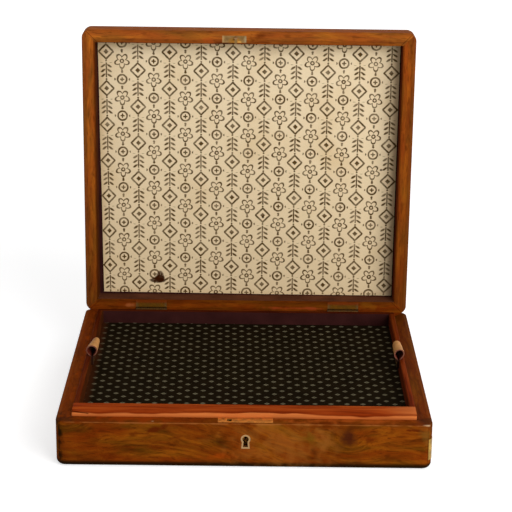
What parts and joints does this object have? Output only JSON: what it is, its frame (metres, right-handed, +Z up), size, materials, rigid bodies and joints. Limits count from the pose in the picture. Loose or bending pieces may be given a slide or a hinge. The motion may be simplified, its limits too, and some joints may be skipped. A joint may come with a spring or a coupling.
{
  "type": "collector box",
  "caption": "Low wooden box with a hinged lid, a lock in its front rim, printed paper linings and a lift-out tray with leather pull loops.",
  "frame": {"origin": "centre of the flat underside", "axes": "+Z up, +Y from the lock towards the hinges, +X to the right of somebody facing the lock; lid open as in the picture"},
  "size_m": [0.3128, 0.3032, 0.3144],
  "materials": {
    "figured_walnut": "waxed",
    "tray_hardwood": "waxed",
    "plain_softwood": "bare",
    "aged_brass": "tarnished",
    "nickel_silver": "dulled",
    "steel": "dulled",
    "tan_leather": "matt",
    "aubergine_paper": "matt",
    "printed_paper": "matt",
    "patterned_paper": "matt"
  },
  "bodies": {
    "base": {"base_front_board": "figured_walnut", "base_back_board": "figured_walnut", "base_left_board": "figured_walnut", "base_right_board": "figured_walnut", "base_bottom_board": "plain_softwood", "base_floor_lining": "aubergine_paper", "tray_ledge_front": "plain_softwood", "tray_ledge_back": "plain_softwood", "tray_ledge_left": "plain_softwood", "tray_ledge_right": "plain_softwood", "lock_face_plate": "aged_brass", "lock_case": "aged_brass", "lock_key_pin": "steel", "lock_screws": "aged_brass", "keyhole_escutcheon": "nickel_silver", "hinge_left_base_leaf": "aged_brass", "hinge_right_base_leaf": "aged_brass", "hinge_left_pin": "steel", "hinge_right_pin": "steel", "hinge_screws_base": "aged_brass", "corner_guard": "aged_brass", "corner_guard_pins": "aged_brass"},
    "lid": {"lid_back_rail": "figured_walnut", "lid_front_rail": "figured_walnut", "lid_left_rail": "figured_walnut", "lid_right_rail": "figured_walnut", "lid_top_panel": "figured_walnut", "lid_printed_lining": "printed_paper", "lid_wall_lining": "aubergine_paper", "strike_plate": "aged_brass", "strike_staple": "aged_brass", "strike_screws": "aged_brass", "hinge_left_lid_leaf": "aged_brass", "hinge_right_lid_leaf": "aged_brass", "hinge_screws_lid": "aged_brass"},
    "tray": {"tray_front_rail": "tray_hardwood", "tray_back_rail": "tray_hardwood", "tray_left_rail": "tray_hardwood", "tray_right_rail": "tray_hardwood", "tray_floor_board": "plain_softwood", "tray_patterned_lining": "patterned_paper", "tray_wall_lining": "aubergine_paper", "pull_loop_left": "tan_leather", "pull_loop_right": "tan_leather", "pull_loop_tacks": "aged_brass"},
    "lock_bolt": {"lock_bolt": "aged_brass", "lock_bolt_spring": "steel"}
  },
  "joints": [
    {"name": "lid_hinge", "type": "hinge", "parent": "base", "child": "lid", "pos_m": [0, 0.1364, 0.0401], "axis": [-1, 0, 0], "range_deg": [-91, 0]},
    {"name": "tray_lift", "type": "slide", "parent": "base", "child": "tray", "axis": [0, 0, 1], "range_m": [0, 0.06]},
    {"name": "bolt_throw", "type": "slide", "parent": "base", "child": "lock_bolt", "axis": [1, 0, 0], "range_m": [-0.0055, 0]}
  ]
}
